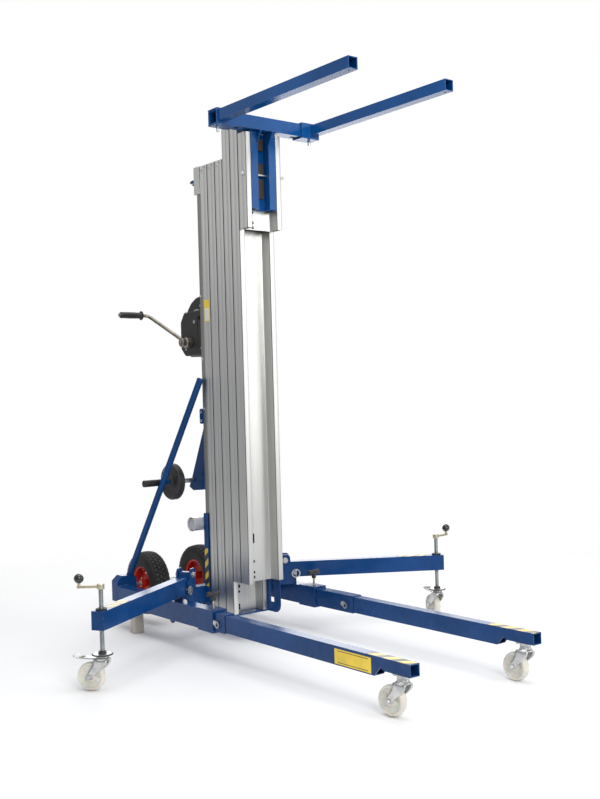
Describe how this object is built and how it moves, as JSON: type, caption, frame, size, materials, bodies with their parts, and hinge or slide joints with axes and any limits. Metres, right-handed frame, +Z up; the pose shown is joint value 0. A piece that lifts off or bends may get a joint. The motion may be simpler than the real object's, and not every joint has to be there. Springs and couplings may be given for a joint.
{
  "type": "manual material lift",
  "caption": "Hand-wound telescopic mast lift with two forks, straddle legs on castors, folding side stabilisers with screw jacks, and rear transport wheels.",
  "frame": {"origin": "on the floor, below the centre of the whole lift's box", "axes": "+Z up the mast; -Y the way the forks and front legs point; +X the side away from the winch crank"},
  "size_m": [1.818, 1.986, 2.124],
  "materials": {
    "blue_paint": "gloss blue powder coat on steel tube and plate",
    "aluminium": "mill-finish extruded aluminium with fine lines along the extrusion",
    "zinc_plate": "bright and yellowish zinc-plated steel",
    "bright_steel": "bright turned steel",
    "black_plastic": "textured matt black",
    "black_rubber": "matt black rubber",
    "red_paint": "gloss red rim",
    "white_nylon": "off-white satin nylon",
    "grey_plastic": "light grey satin plastic"
  },
  "bodies": {
    "base": {"rail_left": "blue_paint", "rail_right": "blue_paint", "cross_beam": "blue_paint", "mast_post": "blue_paint", "rear_foot_left": "grey_plastic", "rear_foot_right": "grey_plastic", "wheel_axle": "zinc_plate", "brace_left": "blue_paint", "brace_right": "blue_paint", "mast_section_1": "aluminium", "head_bracket": "aluminium", "grab_handle": "blue_paint", "winch_housing": "black_plastic", "loading_arm": "blue_paint", "document_tube": "grey_plastic", "lift_cable": "bright_steel"},
    "mast_2": {"mast_section_2": "aluminium"},
    "mast_3": {"mast_section_3": "aluminium"},
    "mast_4": {"mast_section_4": "aluminium"},
    "mast_5": {"mast_section_5": "aluminium"},
    "carriage": {"carriage": "aluminium", "carriage_bracket": "blue_paint", "crossbar": "blue_paint"},
    "lock_pin": {"carriage_lock_pin": "bright_steel"},
    "drum": {"winch_drum": "bright_steel"},
    "crank": {"winch_crank": "zinc_plate"},
    "grip": {"crank_grip": "black_plastic"},
    "loading_wheel": {"loading_wheel": "black_rubber"},
    "fork_left": {"fork_left": "blue_paint"},
    "fork_pin_left": {"fork_pin_left": "bright_steel"},
    "leg_left": {"leg_left": "blue_paint", "leg_socket_left": "blue_paint"},
    "leg_pin_left": {"leg_pin_left": "bright_steel"},
    "clamp_left": {"clamp_knob_left": "black_plastic"},
    "front_castor_left": {"castor_fork_front_left": "zinc_plate"},
    "front_wheel_left": {"castor_wheel_front_left": "white_nylon"},
    "arm_left": {"stabiliser_arm_left": "blue_paint"},
    "arm_pin_left": {"arm_pin_left": "bright_steel"},
    "jack_left": {"jack_foot_left": "zinc_plate"},
    "jack_screw_left": {"jack_screw_left": "zinc_plate"},
    "jack_castor_left": {"castor_fork_jack_left": "zinc_plate"},
    "jack_wheel_left": {"castor_wheel_jack_left": "white_nylon"},
    "wheel_left": {"tyre_left": "black_rubber", "wheel_rim_left": "red_paint"},
    "fork_right": {"fork_right": "blue_paint"},
    "fork_pin_right": {"fork_pin_right": "bright_steel"},
    "leg_right": {"leg_right": "blue_paint", "leg_socket_right": "blue_paint"},
    "leg_pin_right": {"leg_pin_right": "bright_steel"},
    "clamp_right": {"clamp_knob_right": "black_plastic"},
    "front_castor_right": {"castor_fork_front_right": "zinc_plate"},
    "front_wheel_right": {"castor_wheel_front_right": "white_nylon"},
    "arm_right": {"stabiliser_arm_right": "blue_paint"},
    "arm_pin_right": {"arm_pin_right": "bright_steel"},
    "jack_right": {"jack_foot_right": "zinc_plate"},
    "jack_screw_right": {"jack_screw_right": "zinc_plate"},
    "jack_castor_right": {"castor_fork_jack_right": "zinc_plate"},
    "jack_wheel_right": {"castor_wheel_jack_right": "white_nylon"},
    "wheel_right": {"tyre_right": "black_rubber", "wheel_rim_right": "red_paint"}
  },
  "joints": [
    {"name": "mast_2_lift", "type": "slide", "parent": "base", "child": "mast_2", "axis": [0, 0, 1], "range_m": [0, 1.3]},
    {"name": "mast_3_lift", "type": "slide", "parent": "mast_2", "child": "mast_3", "axis": [0, 0, 1], "range_m": [0, 1.3]},
    {"name": "mast_4_lift", "type": "slide", "parent": "mast_3", "child": "mast_4", "axis": [0, 0, 1], "range_m": [-0.137, 1.2]},
    {"name": "mast_5_lift", "type": "slide", "parent": "mast_4", "child": "mast_5", "axis": [0, 0, 1], "range_m": [0, 1.3]},
    {"name": "carriage_lift", "type": "slide", "parent": "mast_5", "child": "carriage", "axis": [0, 0, 1], "range_m": [-1.35, 0]},
    {"name": "lock_pin_pull", "type": "slide", "parent": "carriage", "child": "lock_pin", "axis": [-1, 0, 0], "range_m": [0, 0.2]},
    {"name": "fork_left_slide", "type": "slide", "parent": "carriage", "child": "fork_left", "axis": [1, 0, 0], "range_m": [0, 0.085]},
    {"name": "fork_pin_left_pull", "type": "slide", "parent": "fork_left", "child": "fork_pin_left", "axis": [0, 0, 1], "range_m": [0, 0.085]},
    {"name": "leg_left_slide", "type": "slide", "parent": "base", "child": "leg_left", "axis": [0, -1, 0], "range_m": [0, 0.2]},
    {"name": "leg_pin_left_pull", "type": "slide", "parent": "leg_left", "child": "leg_pin_left", "axis": [-1, 0, 0], "range_m": [0, 0.07]},
    {"name": "clamp_left_turn", "type": "hinge", "parent": "base", "child": "clamp_left", "pos_m": [-0.29435, 0.105, 0.24], "axis": [0, 0, 1], "range_deg": [0, 720]},
    {"name": "front_castor_left_swivel", "type": "hinge", "parent": "leg_left", "child": "front_castor_left", "pos_m": [-0.29435, -0.94, 0.112], "axis": [0, 0, 1], "continuous": true},
    {"name": "front_wheel_left_roll", "type": "hinge", "parent": "front_castor_left", "child": "front_wheel_left", "pos_m": [-0.30033, -0.89742, 0.05], "axis": [-0.9903, -0.1392, 0], "continuous": true},
    {"name": "arm_left_fold", "type": "hinge", "parent": "base", "child": "arm_left", "pos_m": [-0.259, 0.35794, 0.287], "axis": [-0.5373, 0.8434, 0], "range_deg": [0, 85]},
    {"name": "arm_pin_left_pull", "type": "slide", "parent": "arm_left", "child": "arm_pin_left", "axis": [0.5373, -0.8434, 0], "range_m": [0, 0.05]},
    {"name": "jack_left_travel", "type": "slide", "parent": "arm_left", "child": "jack_left", "axis": [0, 0, 1], "range_m": [-0.061, 0.071]},
    {"name": "jack_left_screw", "type": "hinge", "parent": "jack_left", "child": "jack_screw_left", "pos_m": [-0.82829, -0.00474, 0.25], "axis": [0, 0, 1], "range_deg": [-5400, 6300]},
    {"name": "jack_castor_left_swivel", "type": "hinge", "parent": "jack_left", "child": "jack_castor_left", "pos_m": [-0.82829, -0.00474, 0.112], "axis": [0, 0, 1], "continuous": true},
    {"name": "jack_wheel_left_roll", "type": "hinge", "parent": "jack_castor_left", "child": "jack_wheel_left", "pos_m": [-0.85476, 0.02915, 0.05], "axis": [-0.788, -0.6157, 0], "continuous": true},
    {"name": "wheel_left_roll", "type": "hinge", "parent": "base", "child": "wheel_left", "pos_m": [-0.14935, 0.853, 0.178], "axis": [1, 0, 0], "continuous": true},
    {"name": "fork_right_slide", "type": "slide", "parent": "carriage", "child": "fork_right", "axis": [1, 0, 0], "range_m": [-0.088, 0]},
    {"name": "fork_pin_right_pull", "type": "slide", "parent": "fork_right", "child": "fork_pin_right", "axis": [0, 0, 1], "range_m": [0, 0.085]},
    {"name": "leg_right_slide", "type": "slide", "parent": "base", "child": "leg_right", "axis": [0, -1, 0], "range_m": [-0.165, 0.1]},
    {"name": "leg_pin_right_pull", "type": "slide", "parent": "leg_right", "child": "leg_pin_right", "axis": [-1, 0, 0], "range_m": [0, 0.07]},
    {"name": "clamp_right_turn", "type": "hinge", "parent": "base", "child": "clamp_right", "pos_m": [0.28365, 0.201, 0.24], "axis": [0, 0, 1], "range_deg": [0, 720]},
    {"name": "front_castor_right_swivel", "type": "hinge", "parent": "leg_right", "child": "front_castor_right", "pos_m": [0.28365, -0.94, 0.112], "axis": [0, 0, 1], "continuous": true},
    {"name": "front_wheel_right_roll", "type": "hinge", "parent": "front_castor_right", "child": "front_wheel_right", "pos_m": [0.28365, -0.897, 0.05], "axis": [-1, 0, 0], "continuous": true},
    {"name": "arm_right_fold", "type": "hinge", "parent": "base", "child": "arm_right", "pos_m": [0.2483, 0.35794, 0.287], "axis": [-0.5373, -0.8434, 0], "range_deg": [0, 85]},
    {"name": "arm_pin_right_pull", "type": "slide", "parent": "arm_right", "child": "arm_pin_right", "axis": [-0.5373, -0.8434, 0], "range_m": [0, 0.05]},
    {"name": "jack_right_travel", "type": "slide", "parent": "arm_right", "child": "jack_right", "axis": [0, 0, 1], "range_m": [-0.061, 0.071]},
    {"name": "jack_right_screw", "type": "hinge", "parent": "jack_right", "child": "jack_screw_right", "pos_m": [0.81759, -0.00474, 0.25], "axis": [0, 0, 1], "range_deg": [-5400, 6300]},
    {"name": "jack_castor_right_swivel", "type": "hinge", "parent": "jack_right", "child": "jack_castor_right", "pos_m": [0.81759, -0.00474, 0.112], "axis": [0, 0, 1], "continuous": true},
    {"name": "jack_wheel_right_roll", "type": "hinge", "parent": "jack_castor_right", "child": "jack_wheel_right", "pos_m": [0.83088, 0.03616, 0.05], "axis": [-0.9511, 0.309, 0], "continuous": true},
    {"name": "wheel_right_roll", "type": "hinge", "parent": "base", "child": "wheel_right", "pos_m": [0.12865, 0.853, 0.178], "axis": [1, 0, 0], "continuous": true},
    {"name": "loading_wheel_roll", "type": "hinge", "parent": "base", "child": "loading_wheel", "pos_m": [-0.11035, 0.682, 0.638], "axis": [1, 0, 0], "continuous": true},
    {"name": "winch_drum_turn", "type": "hinge", "parent": "base", "child": "drum", "pos_m": [-0.01035, 0.533, 1.33], "axis": [1, 0, 0], "continuous": true},
    {"name": "winch_crank_turn", "type": "hinge", "parent": "base", "child": "crank", "pos_m": [-0.10035, 0.568, 1.243], "axis": [1, 0, 0], "continuous": true},
    {"name": "crank_grip_turn", "type": "hinge", "parent": "crank", "child": "grip", "pos_m": [-0.23035, 0.78486, 1.3733], "axis": [1, 0, 0], "continuous": true}
  ],
  "couplings": [
    {"joint": "jack_left_travel", "follows": "jack_left_screw", "m_per_rad": 0.000637},
    {"joint": "jack_right_travel", "follows": "jack_right_screw", "m_per_rad": 0.000637},
    {"joint": "winch_crank_turn", "follows": "winch_drum_turn", "ratio": -5}
  ]
}
